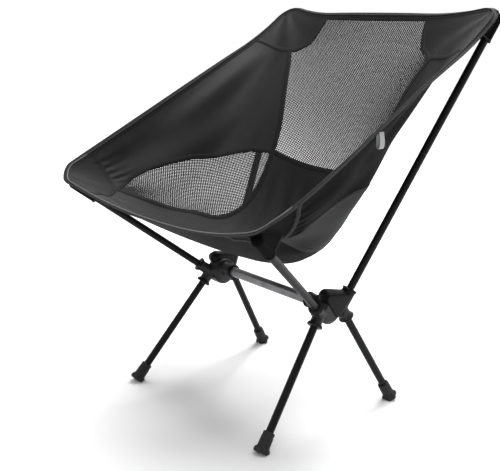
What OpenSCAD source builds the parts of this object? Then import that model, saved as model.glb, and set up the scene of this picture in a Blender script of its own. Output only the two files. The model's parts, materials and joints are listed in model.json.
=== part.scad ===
// Ultralight backpacking chair: a four-legged shock-corded pole frame with a sewn sling seat.
// The sitter faces -Y, so left is +X and right is -X. Millimetres, +Z up, feet on Z = 0.

/* [Frame] */
// Distance between the two hubs' front sockets
hub_spacing = 296; // [280:2:310]
// Height of the hubs' socket centres above the ground
hub_height = 190; // [180:2:205]
// Place of the crossbar's axis, front to back
crossbar_y = -10.4; // [-14:0.1:-4]
// Half the width between the front feet
front_foot_x = 178; // [170:2:190]
// Reach of the front feet forward of the crossbar
front_foot_reach = 173; // [165:1:185]
// Half the width between the rear feet
rear_foot_x = 174; // [170:2:190]
// Reach of the rear feet behind the crossbar
rear_foot_reach = 136; // [125:1:145]

/* [Tubes] */
// Outer diameter of the leg and seat poles
pole_d = 13; // [12.6:0.1:13.2]
// Wall thickness of the leg and seat poles
pole_wall = 0.8; // [0.7:0.1:1]
// Outer diameter of the crossbar
crossbar_d = 18; // [16:0.5:19]
// Diameter of the elastic shock cord
cord_d = 3; // [2:0.5:3.5]
// Radial clearance of a pole in its hub socket
socket_clearance = 0.08; // [0.05:0.01:0.1]

/* [Seat] */
// Half the width of the seat's front edge at its corners
front_corner_x = 266; // [262:1:270]
// Height of the seat's front corners
front_corner_z = 388; // [386:1:392]
// Half the width of the backrest at its top corners
rear_corner_x = 252; // [250:1:256]
// Height of the backrest's top corners, before their lift
rear_corner_z = 654; // [652:1:658]
// How far the backrest's corners stand above its top edge
rear_corner_lift = 20; // [10:1:24]
// Thickness of the sling's sewn panels
fabric_t = 1.5; // [1.2:0.1:1.8]

/* [Hidden] */
$fn = 40;

// Colours
black_anodised = [0.07, 0.07, 0.075];
grey_anodised = [0.36, 0.36, 0.37];
black_nylon = [0.09, 0.09, 0.095];
black_rubber = [0.05, 0.05, 0.05];
black_fabric = [0.13, 0.13, 0.135];
grey_mesh = [0.3, 0.3, 0.3];
grey_binding = [0.22, 0.22, 0.22];
pale_webbing = [0.72, 0.72, 0.72];

// Frame places, on the left side. A pair of sockets meets at each apex.
hub_x = hub_spacing / 2;
crossbar_z = hub_height + 6;
front_apex = [hub_x, crossbar_y - 19, hub_height];
rear_apex = [hub_x, crossbar_y + 28, hub_height];
front_foot = [front_foot_x, crossbar_y - front_foot_reach, 0];
rear_foot = [rear_foot_x, crossbar_y + rear_foot_reach, 0];
front_tip = [front_corner_x - 15, crossbar_y - 240, front_corner_z - 17];
rear_tip = [rear_corner_x - 10, crossbar_y + 272, rear_corner_z - 2];

// Radii
pole_r = pole_d / 2;
bore_r = pole_r - pole_wall;
socket_r = pole_r + socket_clearance;
crossbar_r = crossbar_d / 2;
cord_r = cord_d / 2;
cord_hole_r = cord_r + 0.5;
fit_gap = 0.3;

// Distances along each pole from its apex
leg_socket_floor = 9;
leg_socket_mouth = 26;
front_socket_floor = 8;
front_socket_mouth = 28;
rear_socket_floor = 12;
rear_socket_mouth = 34;
rear_sleeve_r = 11.5;
rear_pole_split = 285;
ferrule_half = 40;
ferrule_r = bore_r - 0.08;
ferrule_wall = 0.9;
tip_r = 6.9;
tip_collar = 3;
tip_shank = 14;
foot_sleeve_r = 10;
foot_sleeve_length = 34;
foot_flange_r = 13;
foot_flange_length = 8;
foot_floor = 8;
plug_length = 7;
front_pocket_length = 46;
rear_pocket_length = 38;
pocket_wall = 1.3;
pocket_clearance = 0.4;

// ---- small vector helpers ----

function length_of(p, q) = norm(q - p);
function mix(a, b, t) = a + (b - a) * t;
function clamp01(x) = min(max(x, 0), 1);
function unit(a) = a / norm(a);

// Places children, built along +Z from the origin, at a distance from p towards q
module towards(p, q, distance = 0) {
    d = unit(q - p);
    translate(p + d * distance)
        rotate([0, acos(d[2]), atan2(d[1], d[0])])
            children();
}

module rod(p, q, from, to, r) {
    towards(p, q, from) cylinder(h = to - from, r = r);
}

module tube(p, q, from, to, r_out, r_in) {
    towards(p, q, from)
        difference() {
            cylinder(h = to - from, r = r_out);
            translate([0, 0, -1]) cylinder(h = to - from + 2, r = r_in);
        }
}

module both_sides() {
    children();
    mirror([1, 0, 0]) children();
}

module side(right) {
    if (right) mirror([1, 0, 0]) children();
    else children();
}

// ---- the sling's surface ----
// u runs across, -1 to 1, and v runs from the front edge, 0, to the backrest's top edge, 1.

front_corner = [front_corner_x, crossbar_y - 262, front_corner_z];
rear_corner = [rear_corner_x, crossbar_y + 272, rear_corner_z];
front_middle = [0, front_corner[1] + 16, front_corner_z - 36];
top_middle = [0, rear_corner[1] - 26, rear_corner_z + 2];
edge_line = [
    front_corner,
    front_corner + [22, 82, 27],
    rear_corner + [10, -370, -188],
    rear_corner
];
middle_line = [
    front_middle,
    front_middle + [0, 355, -207],
    top_middle + [0, -192, -396],
    top_middle
];
bowl_power = 2.3;
lift_from_u = 0.45;
lift_from_v = 0.88;

function bezier(p, t) =
    pow(1 - t, 3) * p[0] + 3 * pow(1 - t, 2) * t * p[1]
    + 3 * (1 - t) * t * t * p[2] + pow(t, 3) * p[3];

function corner_lift(u, v) =
    rear_corner_lift
    * pow(clamp01((abs(u) - lift_from_u) / (1 - lift_from_u)), 2)
    * pow(clamp01((v - lift_from_v) / (1 - lift_from_v)), 2);

function sling(u, v) =
    let (e = bezier(edge_line, v), m = bezier(middle_line, v), g = pow(abs(u), bowl_power))
    [u * e[0], mix(m[1], e[1], g), mix(m[2], e[2], g) + corner_lift(u, v)];

function sling_normal(u, v) =
    let (s = 0.004)
    unit(cross(sling(u + s, v) - sling(u - s, v), sling(u, v + s) - sling(u, v - s)));

// A smooth curve through hand-picked [u, v] points, n steps between each pair
function curve_point(p, i, t) =
    let (
        a = p[max(i - 1, 0)], b = p[i], c = p[i + 1], d = p[min(i + 2, len(p) - 1)]
    )
    0.5 * (
        2 * b + (c - a) * t + (2 * a - 5 * b + 4 * c - d) * t * t
        + (3 * b - a - 3 * c + d) * t * t * t
    );
function curve(p, n) =
    concat([for (i = [0:len(p) - 2], k = [0:n - 1]) curve_point(p, i, k / n)], [p[len(p) - 1]]);
function mirrored(p) = [for (q = p) [-q[0], q[1]]];

// Rows of [u, v] points that fill the space between two lines of equally many points
function fill_rows(a, b, n, t0 = 0, t1 = 1) =
    [for (i = [0:len(a) - 1]) [for (j = [0:n]) mix(a[i], b[i], mix(t0, t1, j / n))]];

// A sewn panel: a closed shell over rows of [u, v] points
module panel(rows, t = fabric_t) {
    nr = len(rows);
    nc = len(rows[0]);
    flat = [for (row = rows, q = row) q];
    top = [for (q = flat) sling(q[0], q[1]) + sling_normal(q[0], q[1]) * t / 2];
    under = [for (q = flat) sling(q[0], q[1]) - sling_normal(q[0], q[1]) * t / 2];
    n = nr * nc;
    quads = [
        for (i = [0:nr - 2], j = [0:nc - 2])
            let (a = i * nc + j)
            [a, a + 1, a + nc + 1, a + nc]
    ];
    rim = concat(
        [for (j = [0:nc - 2]) [j, j + 1]],
        [for (i = [0:nr - 2]) [i * nc + nc - 1, (i + 1) * nc + nc - 1]],
        [for (j = [nc - 1:-1:1]) [(nr - 1) * nc + j, (nr - 1) * nc + j - 1]],
        [for (i = [nr - 1:-1:1]) [i * nc, (i - 1) * nc]]
    );
    faces = concat(
        [for (f = quads) [f[0], f[2], f[1]]],
        [for (f = quads) [f[0], f[3], f[2]]],
        [for (f = quads) [n + f[0], n + f[1], n + f[2]]],
        [for (f = quads) [n + f[0], n + f[2], n + f[3]]],
        [for (e = rim) [e[0], e[1], n + e[1]]],
        [for (e = rim) [e[0], n + e[1], n + e[0]]]
    );
    polyhedron(points = concat(top, under), faces = faces);
}

// Edge tape: a round-section tube along the surface through [u, v] points
binding_r = 2.4;
binding_sides = 8;
module binding(path) {
    last = len(path) - 1;
    at = [for (q = path) sling(q[0], q[1])];
    rings = [
        for (i = [0:last])
            let (
                t = unit(at[min(i + 1, last)] - at[max(i - 1, 0)]),
                n = sling_normal(path[i][0], path[i][1]),
                b = unit(cross(t, n)),
                m = cross(b, t)
            )
            for (k = [0:binding_sides - 1])
                at[i] + binding_r * (cos(360 * k / binding_sides) * b + sin(360 * k / binding_sides) * m)
    ];
    body = [
        for (i = [0:last - 1], k = [0:binding_sides - 1])
            let (a = i * binding_sides + k, b = i * binding_sides + (k + 1) % binding_sides)
            [a, b, b + binding_sides, a + binding_sides]
    ];
    polyhedron(
        points = rings,
        faces = concat(
            [for (f = body) [f[0], f[2], f[1]]],
            [for (f = body) [f[0], f[3], f[2]]],
            [[for (k = [0:binding_sides - 1]) k]],
            [[for (k = [binding_sides - 1:-1:0]) last * binding_sides + k]]
        )
    );
}

// Seam lines on the left half, as [u, v]
seat_seam = [
    [0.815, 0.175], [0.71, 0.245], [0.605, 0.348], [0.51, 0.4],
    [0.46, 0.48], [0.44, 0.55], [0.435, 0.63], [0.45, 0.715]
];
wing_seam = [
    [0.815, 0.175], [0.845, 0.26], [0.858, 0.34], [0.845, 0.43],
    [0.79, 0.545], [0.7, 0.62], [0.585, 0.685], [0.45, 0.715]
];
back_seam = [[0.45, 0.715], [0.49, 0.79], [0.61, 0.888], [0.68, 0.922]];
seat_side = concat([[0.715, 0.005], [0.745, 0.08], [0.79, 0.14]], seat_seam);
back_side = concat(
    [[0.45, 0.719]], [for (i = [1:3]) back_seam[i]],
    [[0.54, 0.948], [0.495, 0.98], [0.485, 0.9965]]
);
wing_inner = concat([[0.83, 0.18]], [for (i = [2:7]) wing_seam[i]], [for (i = [1:3]) back_seam[i]]);
wing_outer = [for (i = [0:len(wing_inner) - 1]) [0.99, mix(0.282, 0.91, i / (len(wing_inner) - 1))]];
front_patch_outer = [
    [0.73, 0.008], [0.86, 0.014], [0.92, 0.028], [0.955, 0.055],
    [0.972, 0.085], [0.985, 0.14], [0.988, 0.27]
];
front_patch_inner = [
    [0.733, 0.03], [0.757, 0.08], [0.798, 0.13], [0.84, 0.176],
    [0.88, 0.202], [0.93, 0.234], [0.975, 0.264]
];
rear_patch_outer = [
    [0.985, 0.9145], [0.985, 0.96], [0.97, 0.978], [0.945, 0.989],
    [0.9, 0.9955], [0.8, 0.9965], [0.5, 0.9965]
];
rear_patch_inner = [
    [0.96, 0.9145], [0.87, 0.918], [0.78, 0.9215], [0.69, 0.9255],
    [0.6, 0.94], [0.555, 0.949], [0.506, 0.9835]
];
front_corner_path = [
    [0.73, 0], [0.8, 0], [0.86, 0], [0.93, 0.019], [0.96, 0.041],
    [0.981, 0.07], [1, 0.14], [1, 0.2], [1, 0.262]
];
rear_corner_path = [
    [1, 0.915], [1, 0.945], [1, 0.97], [0.985, 0.984], [0.96, 0.992],
    [0.93, 0.997], [0.87, 1], [0.68, 1], [0.51, 1]
];

// ---- frame modules ----

module crossbar() {
    bar_end = hub_x - 14;
    color(grey_anodised)
        translate([-bar_end, crossbar_y, crossbar_z])
            rotate([0, 90, 0])
                difference() {
                    cylinder(h = 2 * bar_end, r = crossbar_r);
                    translate([0, 0, -1]) cylinder(h = 2 * bar_end + 2, r = crossbar_r - 1.2);
                }
}

// The bright-edged rings where the crossbar enters the hubs
collar_x = hub_x - 47.5;
collar_width = 4;
module crossbar_collars() {
    color(black_nylon)
        both_sides()
            translate([collar_x, crossbar_y, crossbar_z])
                rotate([0, 90, 0])
                    difference() {
                        cylinder(h = collar_width, r = crossbar_r + 4.5);
                        translate([0, 0, -1]) cylinder(h = collar_width + 2, r = crossbar_r + 0.05);
                    }
}

// A socket's outside: a sleeve with a rim at its mouth
module sleeve(apex, target, mouth, r, rim_r, rim_length) {
    rod(apex, target, 0, mouth, r);
    rod(apex, target, mouth - rim_length, mouth, rim_r);
}

// A disc across the hub, from one x to another, at a place measured from the crossbar's axis
module across(from_x, to_x, dy, dz, r) {
    translate([from_x, crossbar_y + dy, crossbar_z + dz])
        rotate([0, 90, 0]) cylinder(h = to_x - from_x, r = r, $fn = 32);
}

// The rounded lower body that the crossbar and the front sockets run into
module hub_body() {
    hull() {
        across(hub_x - 20, hub_x + 4, 1, -6, 24);
        across(hub_x - 24, hub_x + 8, 1, -6, 18);
    }
}

// The shield-shaped cover on the outer side, drawn out into the rear pole's sleeve
module hub_shield() {
    hull() {
        across(hub_x - 14, hub_x + 9.5, -7, 20, 11);
        across(hub_x - 10, hub_x + 13, -7, 18, 7);
        across(hub_x - 8, hub_x + 12, 10, -15, 3);
        rod(rear_apex, rear_tip, -12, rear_socket_mouth - 8, rear_sleeve_r + 0.35, $fn = 32);
    }
}

module hub() {
    color(black_nylon)
        difference() {
            union() {
                hub_body();
                hub_shield();
                sleeve(front_apex, front_tip, front_socket_mouth, 10, 12, 6);
                sleeve(front_apex, front_foot, leg_socket_mouth, 10, 12.5, 6);
                sleeve(rear_apex, rear_tip, rear_socket_mouth, rear_sleeve_r, 12, 5);
                sleeve(rear_apex, rear_foot, leg_socket_mouth, 10, 12.5, 6);
                translate([hub_x - 43, crossbar_y, crossbar_z])
                    rotate([0, 90, 0]) cylinder(h = 30, r = crossbar_r + 3.5);
            }
            rod(front_apex, front_tip, front_socket_floor, front_socket_mouth + 1, socket_r);
            rod(front_apex, front_foot, leg_socket_floor, leg_socket_mouth + 1, socket_r);
            rod(rear_apex, rear_tip, rear_socket_floor, rear_socket_mouth + 1, socket_r);
            rod(rear_apex, rear_foot, leg_socket_floor, leg_socket_mouth + 1, socket_r);
            rod(front_apex, front_tip, 0, front_socket_floor + 1, cord_hole_r);
            rod(front_apex, front_foot, 0, leg_socket_floor + 1, cord_hole_r);
            rod(rear_apex, rear_tip, 0, rear_socket_floor + 1, cord_hole_r);
            rod(rear_apex, rear_foot, 0, leg_socket_floor + 1, cord_hole_r);
            translate(front_apex) sphere(r = cord_hole_r);
            translate(rear_apex) sphere(r = cord_hole_r);
            translate([hub_x - 44, crossbar_y, crossbar_z])
                rotate([0, 90, 0]) cylinder(h = 30.3, r = crossbar_r + 0.05);
        }
}

// One elastic cord runs through both poles that meet at an apex
module shock_cord(apex, foot, foot_stop, tip, tip_stop) {
    color(pale_webbing)
        union() {
            rod(apex, foot, 0, foot_stop, cord_r);
            rod(apex, tip, 0, tip_stop, cord_r);
            translate(apex) sphere(r = cord_r + 0.15);
        }
}

module front_shock_cord() {
    shock_cord(
        front_apex, front_foot, leg_plug_at(front_apex, front_foot) - 1.5,
        front_tip, tip_shank_at(front_apex, front_tip) - 1.5
    );
}

module rear_shock_cord() {
    shock_cord(
        rear_apex, rear_foot, leg_plug_at(rear_apex, rear_foot) - 1.5,
        rear_tip, tip_shank_at(rear_apex, rear_tip) - 1.5
    );
}

// ---- legs ----

// Where a leg's parts lie, measured from its apex
function leg_tube_end(apex, foot) = length_of(apex, foot) - foot_floor - 3;
function leg_plug_at(apex, foot) = leg_tube_end(apex, foot) - plug_length - 4;

module leg_tube(apex, foot) {
    color(black_anodised)
        tube(apex, foot, leg_socket_floor + fit_gap, leg_tube_end(apex, foot), pole_r, bore_r);
}

// The disc that the shock cord is knotted to, inside the leg
module leg_plug(apex, foot) {
    color(black_nylon)
        rod(apex, foot, leg_plug_at(apex, foot), leg_plug_at(apex, foot) + plug_length, bore_r - 0.05);
}

foot_lobes = 6;
module leg_foot(apex, foot) {
    end = leg_tube_end(apex, foot);
    reach = foot_floor;
    color(black_rubber)
        difference() {
            towards(apex, foot, end + reach)
                union() {
                    translate([0, 0, -foot_sleeve_length])
                        cylinder(h = foot_sleeve_length, r = foot_sleeve_r);
                    translate([0, 0, -foot_flange_length])
                        cylinder(h = foot_flange_length, r = foot_flange_r - 2);
                    for (k = [0:foot_lobes - 1])
                        rotate(360 / foot_lobes * k)
                            translate([foot_flange_r - 4, 0, -foot_flange_length])
                                cylinder(h = foot_flange_length, r = 4);
                }
            rod(apex, foot, end - foot_sleeve_length, end + 0.05, pole_r + 0.05);
            translate([foot[0] - 50, foot[1] - 50, -50]) cube([100, 100, 50]);
        }
}

// ---- seat poles ----

function tip_shank_at(apex, tip) = length_of(apex, tip) - tip_r - tip_collar - tip_shank;
function pole_end(apex, tip) = length_of(apex, tip) - tip_r - tip_collar;

// A plug with a domed head, turned about the pole's axis
module pole_tip(apex, tip) {
    dome = [for (a = [0:10:80]) [tip_r * cos(a), tip_shank + tip_collar + tip_r * sin(a)]];
    color(black_nylon)
        towards(apex, tip, pole_end(apex, tip) - tip_shank)
            rotate_extrude()
                polygon(concat(
                    [[0, 0], [bore_r - 0.05, 0], [bore_r - 0.05, tip_shank], [tip_r, tip_shank]],
                    dome,
                    [[0, tip_shank + tip_collar + tip_r]]
                ));
}

// The sewn sleeve under a seat corner that the pole's tip pushes into
module pocket(apex, tip, pocket_length) {
    far = length_of(apex, tip) + fit_gap;
    inside = tip_r + pocket_clearance;
    color(black_fabric)
        difference() {
            rod(apex, tip, far - pocket_length, far + pocket_wall, inside + pocket_wall);
            rod(apex, tip, far - pocket_length - 1, far, inside);
        }
}

module front_pocket() {
    pocket(front_apex, front_tip, front_pocket_length);
}

module rear_pocket() {
    pocket(rear_apex, rear_tip, rear_pocket_length);
}

module front_pole_tube() {
    color(black_anodised)
        tube(
            front_apex, front_tip, front_socket_floor + fit_gap,
            pole_end(front_apex, front_tip), pole_r, bore_r
        );
}

module rear_pole_lower_tube() {
    color(black_anodised)
        tube(rear_apex, rear_tip, rear_socket_floor + fit_gap, rear_pole_split, pole_r, bore_r);
}

module rear_pole_ferrule() {
    color(grey_anodised)
        tube(
            rear_apex, rear_tip, rear_pole_split - ferrule_half, rear_pole_split + ferrule_half,
            ferrule_r, ferrule_r - ferrule_wall
        );
}

module rear_pole_upper_tube() {
    color(black_anodised)
        tube(
            rear_apex, rear_tip, rear_pole_split + fit_gap,
            pole_end(rear_apex, rear_tip), pole_r, bore_r
        );
}

// ---- sling panels ----

module seat_panel() {
    edge = curve(seat_side, 2);
    color(black_fabric) panel(fill_rows(mirrored(edge), edge, 12, 0.003, 0.997));
}

module back_mesh_panel() {
    edge = curve(back_side, 2);
    color(grey_mesh) panel(fill_rows(mirrored(edge), edge, 10, 0.003, 0.997));
}

module wing_panel() {
    color(black_fabric) panel(fill_rows(curve(wing_inner, 2), curve(wing_outer, 2), 5, 0.028, 1));
}

module side_mesh() {
    low = [for (i = [1:13]) curve(seat_seam, 2)[i]];
    high = [for (i = [1:13]) curve(wing_seam, 2)[i]];
    color(grey_mesh) panel(fill_rows(low, high, 5, 0.015, 0.93));
}

module front_corner_patch() {
    color(black_fabric) panel(fill_rows(front_patch_inner, front_patch_outer, 3));
}

module rear_corner_patch() {
    color(black_fabric) panel(fill_rows(rear_patch_inner, rear_patch_outer, 3));
}

module front_binding() {
    color(grey_binding) binding([for (i = [0:16]) [mix(-0.715, 0.715, i / 16), 0]]);
}

module top_binding() {
    color(grey_binding) binding([for (i = [0:10]) [mix(-0.495, 0.495, i / 10), 1]]);
}

module side_binding() {
    color(grey_binding) binding([for (i = [0:18]) [1, mix(0.275, 0.911, i / 18)]]);
}

module front_corner_binding() {
    color(grey_binding) binding(front_corner_path);
}

module rear_corner_binding() {
    color(grey_binding) binding(rear_corner_path);
}

// A folded ribbon tab sewn under the left side edge
loop_at_v = 0.68;
loop_width = 7;
loop_length = 24;
loop_depth = 5;
loop_wall = 1;
module hang_loop() {
    root = sling(1, loop_at_v);
    color(pale_webbing)
        translate(root + [binding_r, -loop_width / 2, -loop_length])
            rotate([0, 0, 90])
                rotate([90, 0, 0])
                    translate([0, 0, 1])
                        linear_extrude(height = loop_width)
                            difference() {
                                square([loop_depth, loop_length]);
                                translate([loop_wall, loop_wall])
                                    square([loop_depth - 2 * loop_wall, loop_length - 2 * loop_wall]);
                            }
}

// ---- nodes ----

crossbar();
crossbar_collars();
hub();  // hub_left
side(true) hub();  // hub_right
front_shock_cord();  // front_shock_cord_left
side(true) front_shock_cord();  // front_shock_cord_right
rear_shock_cord();  // rear_shock_cord_left
side(true) rear_shock_cord();  // rear_shock_cord_right
seat_panel();
back_mesh_panel();
wing_panel();  // wing_panel_left
side(true) wing_panel();  // wing_panel_right
side_mesh();  // side_mesh_left
side(true) side_mesh();  // side_mesh_right
front_binding();
top_binding();
side_binding();  // side_binding_left
side(true) side_binding();  // side_binding_right
hang_loop();
leg_tube(front_apex, front_foot);  // front_leg_tube_left
leg_foot(front_apex, front_foot);  // front_leg_foot_left
leg_plug(front_apex, front_foot);  // front_leg_plug_left
side(true) leg_tube(front_apex, front_foot);  // front_leg_tube_right
side(true) leg_foot(front_apex, front_foot);  // front_leg_foot_right
side(true) leg_plug(front_apex, front_foot);  // front_leg_plug_right
leg_tube(rear_apex, rear_foot);  // rear_leg_tube_left
leg_foot(rear_apex, rear_foot);  // rear_leg_foot_left
leg_plug(rear_apex, rear_foot);  // rear_leg_plug_left
side(true) leg_tube(rear_apex, rear_foot);  // rear_leg_tube_right
side(true) leg_foot(rear_apex, rear_foot);  // rear_leg_foot_right
side(true) leg_plug(rear_apex, rear_foot);  // rear_leg_plug_right
front_pole_tube();  // front_pole_tube_left
pole_tip(front_apex, front_tip);  // front_pole_tip_left
front_pocket();  // front_pocket_left
front_corner_patch();  // front_corner_patch_left
front_corner_binding();  // front_corner_binding_left
side(true) front_pole_tube();  // front_pole_tube_right
side(true) pole_tip(front_apex, front_tip);  // front_pole_tip_right
side(true) front_pocket();  // front_pocket_right
side(true) front_corner_patch();  // front_corner_patch_right
side(true) front_corner_binding();  // front_corner_binding_right
rear_pole_lower_tube();  // rear_pole_lower_tube_left
rear_pole_ferrule();  // rear_pole_ferrule_left
side(true) rear_pole_lower_tube();  // rear_pole_lower_tube_right
side(true) rear_pole_ferrule();  // rear_pole_ferrule_right
rear_pole_upper_tube();  // rear_pole_upper_tube_left
pole_tip(rear_apex, rear_tip);  // rear_pole_tip_left
rear_pocket();  // rear_pocket_left
rear_corner_patch();  // rear_corner_patch_left
rear_corner_binding();  // rear_corner_binding_left
side(true) rear_pole_upper_tube();  // rear_pole_upper_tube_right
side(true) pole_tip(rear_apex, rear_tip);  // rear_pole_tip_right
side(true) rear_pocket();  // rear_pocket_right
side(true) rear_corner_patch();  // rear_corner_patch_right
side(true) rear_corner_binding();  // rear_corner_binding_right
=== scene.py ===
import json
import math

import bmesh
import bpy
import numpy as np
from mathutils import Matrix, Vector


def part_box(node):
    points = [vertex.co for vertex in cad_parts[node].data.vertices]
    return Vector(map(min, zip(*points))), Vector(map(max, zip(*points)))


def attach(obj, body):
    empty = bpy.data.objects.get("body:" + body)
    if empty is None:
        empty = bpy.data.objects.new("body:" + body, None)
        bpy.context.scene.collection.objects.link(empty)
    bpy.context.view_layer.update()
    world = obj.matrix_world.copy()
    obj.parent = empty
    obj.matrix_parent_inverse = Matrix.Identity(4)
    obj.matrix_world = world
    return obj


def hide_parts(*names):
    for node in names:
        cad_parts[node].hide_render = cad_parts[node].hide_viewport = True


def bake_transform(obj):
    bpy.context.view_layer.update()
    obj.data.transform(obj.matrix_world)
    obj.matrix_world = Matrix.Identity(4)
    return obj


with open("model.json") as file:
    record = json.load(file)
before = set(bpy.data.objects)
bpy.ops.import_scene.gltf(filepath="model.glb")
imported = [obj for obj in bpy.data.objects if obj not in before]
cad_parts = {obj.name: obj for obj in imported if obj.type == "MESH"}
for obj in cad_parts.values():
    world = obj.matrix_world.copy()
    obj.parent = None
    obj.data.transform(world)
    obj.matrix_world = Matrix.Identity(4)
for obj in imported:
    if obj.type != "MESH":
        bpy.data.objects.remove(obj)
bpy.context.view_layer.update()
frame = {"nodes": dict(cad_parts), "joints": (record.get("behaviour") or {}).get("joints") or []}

# The ultralight backpacking chair's looks, in metres. The sitter faces -Y and their left is +X.
# Everything is made for the left side and mirrored for the right.

MM = 0.001
NODES = frame["nodes"]
AXES = {joint["name"]: np.array(joint["axis"], float) for joint in frame["joints"]}
SIDES = {"left": 1, "right": -1}


def centre(node):
    low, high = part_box(node)
    return np.array((low + high) / 2)


CROSSBAR = centre("crossbar")

# ---- camera ----


def add_camera():
    camera = bpy.data.objects.new("camera", bpy.data.cameras.new("camera"))
    camera.location = (1.0839, CROSSBAR[1] - 0.9458, 0.6694)
    camera.rotation_euler = (math.radians(75.086), 0, math.radians(50.263))
    camera.data.lens = 61.47
    camera.data.sensor_width = 36
    bpy.context.scene.collection.objects.link(camera)
    bpy.context.scene.camera = camera


add_camera()

# ---- the frame's lines, from the tubes' boxes and the joints' axes ----

TUBE_R = 6.5 * MM
TIP_REACH = 9.9 * MM


def unit(a):
    a = np.asarray(a, float)
    return a / np.linalg.norm(a, axis=-1, keepdims=True)


def tube_ends(node, axis):
    """The two ends of a tube's centreline."""
    low, high = (np.array(corner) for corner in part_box(node))
    spread = TUBE_R * math.sqrt(1 - axis[2] ** 2)
    half = ((high[2] - low[2]) / 2 - spread) / abs(axis[2])
    middle = (low + high) / 2
    return middle - axis * half, middle + axis * half


def meeting(p, d, q, e):
    """The point midway between two lines where they pass closest."""
    solved = np.linalg.lstsq(np.stack([d, -e], 1), q - p, rcond=None)[0]
    return (p + d * solved[0] + q + e * solved[1]) / 2


AXIS = {
    "front_leg": AXES["front_leg_left_slide"],
    "rear_leg": AXES["rear_leg_left_slide"],
    "front_pole": AXES["front_pole_left_slide"],
    "rear_pole": AXES["rear_pole_upper_left_slide"],
}
ENDS = {
    "front_leg": tube_ends("front_leg_tube_left", AXIS["front_leg"]),
    "rear_leg": tube_ends("rear_leg_tube_left", AXIS["rear_leg"]),
    "front_pole": tube_ends("front_pole_tube_left", AXIS["front_pole"]),
    "rear_pole": tube_ends("rear_pole_upper_tube_left", AXIS["rear_pole"]),
}
APEX = {
    end: meeting(
        ENDS[f"{end}_leg"][0], AXIS[f"{end}_leg"], ENDS[f"{end}_pole"][0], AXIS[f"{end}_pole"]
    )
    for end in ("front", "rear")
}
TIP = {
    end: ENDS[f"{end}_pole"][1] + AXIS[f"{end}_pole"] * TIP_REACH for end in ("front", "rear")
}

# ---- materials ----


def new_material(name, colour, roughness, metallic=0.0, sheen=0.0, specular=0.5):
    """A material, and its tree with the shader's node."""
    made = bpy.data.materials.new(name)
    made.use_nodes = True
    tree = made.node_tree
    shader = tree.nodes["Principled BSDF"]
    shader.inputs["Base Color"].default_value = (*colour, 1)
    shader.inputs["Roughness"].default_value = roughness
    shader.inputs["Metallic"].default_value = metallic
    shader.inputs["Sheen Weight"].default_value = sheen
    shader.inputs["Sheen Roughness"].default_value = 0.45
    shader.inputs["Specular IOR Level"].default_value = specular
    return made, tree, shader


def add_node(tree, kind, **values):
    node = tree.nodes.new(kind)
    for key, value in values.items():
        if key in node.inputs:
            node.inputs[key].default_value = value
        else:
            setattr(node, key, value)
    return node


def noise(tree, coords, scale, detail=3.0, stretch=(1, 1, 1)):
    """Fractal noise over coords, whose scale is in cycles a metre."""
    mapping = add_node(tree, "ShaderNodeMapping", Scale=stretch)
    texture = add_node(tree, "ShaderNodeTexNoise", Scale=scale, Detail=detail)
    tree.links.new(coords, mapping.inputs["Vector"])
    tree.links.new(mapping.outputs["Vector"], texture.inputs["Vector"])
    return texture.outputs["Fac"]


def ramp(tree, value, low, high, first, second):
    """A colour that runs from first to second as value runs from low to high."""
    node = tree.nodes.new("ShaderNodeValToRGB")
    node.color_ramp.elements[0].position = low
    node.color_ramp.elements[1].position = high
    node.color_ramp.elements[0].color = (*first, 1)
    node.color_ramp.elements[1].color = (*second, 1)
    tree.links.new(value, node.inputs["Fac"])
    return node.outputs["Color"]


def spread(tree, value, low, high):
    """value, from 0 to 1, moved to the range from low to high."""
    node = tree.nodes.new("ShaderNodeMapRange")
    node.inputs["To Min"].default_value = low
    node.inputs["To Max"].default_value = high
    tree.links.new(value, node.inputs["Value"])
    return node.outputs["Result"]


def combine(tree, operation, first, second):
    node = add_node(tree, "ShaderNodeMath", operation=operation)
    tree.links.new(first, node.inputs[0])
    tree.links.new(second, node.inputs[1])
    return node.outputs["Value"]


def bump(tree, shader, height, distance, strength=1.0):
    """Bumps on the surface, as deep as distance in metres."""
    node = add_node(tree, "ShaderNodeBump", Strength=strength, Distance=distance)
    tree.links.new(height, node.inputs["Height"])
    tree.links.new(node.outputs["Normal"], shader.inputs["Normal"])


WAVE_PERIOD = 2 * math.pi / 20


def threads(tree, coords, pitch, direction):
    """Ridges across the cloth, pitch metres apart."""
    node = add_node(
        tree, "ShaderNodeTexWave", bands_direction=direction, Scale=WAVE_PERIOD / pitch
    )
    node.inputs["Distortion"].default_value = 0.4
    tree.links.new(coords, node.inputs["Vector"])
    return node.outputs["Fac"]


def shades(colour, less, more):
    return tuple(c * less for c in colour), tuple(c * more for c in colour)


def cloth_material(name, colour, pitch, roughness, sheen, depth=0.12 * MM, specular=0.2):
    """Woven cloth: crossed threads, uneven dye, and a soft sheen. The UV map is in metres."""
    made, tree, shader = new_material(name, colour, roughness, sheen=sheen, specular=specular)
    coords = tree.nodes.new("ShaderNodeUVMap").outputs["UV"]
    weave = combine(
        tree, "MULTIPLY", threads(tree, coords, pitch, "X"), threads(tree, coords, pitch, "Y")
    )
    slub = noise(tree, coords, 420, 4, (1, 5, 1))
    worn = noise(tree, coords, 11, 5)
    mottled = combine(tree, "MULTIPLY", slub, worn)
    tree.links.new(
        ramp(tree, mottled, 0.12, 0.42, *shades(colour, 0.72, 1.35)), shader.inputs["Base Color"]
    )
    tree.links.new(
        spread(tree, worn, roughness - 0.12, roughness + 0.12), shader.inputs["Roughness"]
    )
    bump(tree, shader, combine(tree, "ADD", weave, slub), depth)
    return made


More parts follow.
